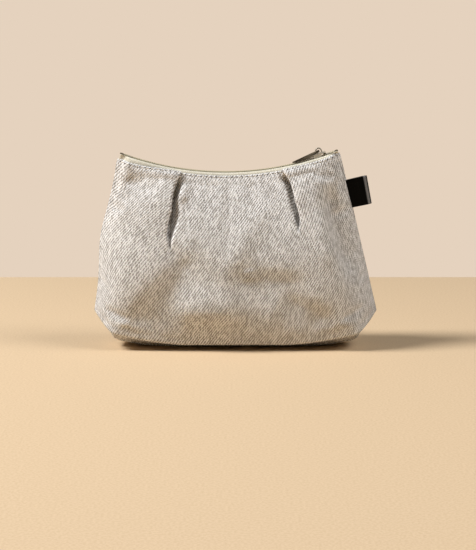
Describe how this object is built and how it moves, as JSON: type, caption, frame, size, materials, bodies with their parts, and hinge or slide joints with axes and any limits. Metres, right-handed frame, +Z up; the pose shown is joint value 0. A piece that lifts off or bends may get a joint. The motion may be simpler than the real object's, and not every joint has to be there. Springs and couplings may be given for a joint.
{
  "type": "pleated pouch",
  "caption": "Zip pouch of twill cloth that stands on a boxed base, with pleats below its dipping mouth, a lining, a coil zip with slider and pull, and a folded leather side tab.",
  "frame": {"origin": "on the ground below the middle of the pouch", "axes": "+X to the right seen from the front, along the zip towards its closed end; -Y to the front; +Z up"},
  "size_m": [0.1942, 0.0674, 0.1367],
  "materials": {
    "twill_cloth": "coarse twill of pale and grey-brown yarn, matte",
    "lining_cloth": "plain weave cotton, matte",
    "zip_tape": "woven tape, matte",
    "zip_coil": "nylon coil, satin",
    "zip_metal": "plated cast metal, satin",
    "black_leather": "smooth black leather, semi-gloss"
  },
  "bodies": {
    "root": {"base_panel": "twill_cloth", "base_lining": "lining_cloth"},
    "front_wall": {"front_panel": "twill_cloth", "front_lining": "lining_cloth", "zip_tape_front": "zip_tape", "zip_coil_front": "zip_coil", "zip_top_stop_front": "zip_metal"},
    "back_wall": {"back_panel": "twill_cloth", "back_lining": "lining_cloth", "zip_tape_back": "zip_tape", "zip_coil_back": "zip_coil", "zip_top_stop_back": "zip_metal", "zip_bottom_stop": "zip_metal", "side_tab": "black_leather"},
    "slider": {"slider_body": "zip_metal", "slider_crown": "zip_metal"},
    "pull": {"pull_tab": "zip_metal"}
  },
  "joints": [
    {"name": "zip_run", "type": "hinge", "parent": "root", "child": "slider", "pos_m": [-0.0072, 0, 0.3243], "axis": [0, 1, 0], "range_deg": [0, 35.5], "deforming": ["zip_tape_front", "zip_coil_front", "zip_tape_back", "zip_coil_back"]},
    {"name": "front_opening", "type": "hinge", "parent": "root", "child": "front_wall", "pos_m": [0, -0.027, 0.0045], "axis": [1, 0, 0], "range_deg": [0, 12.1], "deforming": ["zip_tape_front", "zip_coil_front"]},
    {"name": "back_opening", "type": "hinge", "parent": "root", "child": "back_wall", "pos_m": [0, 0.027, 0.0045], "axis": [-1, 0, 0], "range_deg": [0, 12.1], "deforming": ["zip_tape_back", "zip_coil_back"]},
    {"name": "pull_swing", "type": "hinge", "parent": "slider", "child": "pull", "pos_m": [0.05669, 0, 0.13425], "axis": [0, 1, 0], "range_deg": [0, 160]}
  ],
  "couplings": [
    {"joint": "front_opening", "follows": "zip_run", "ratio": 0.34},
    {"joint": "back_opening", "follows": "zip_run", "ratio": 0.34}
  ]
}
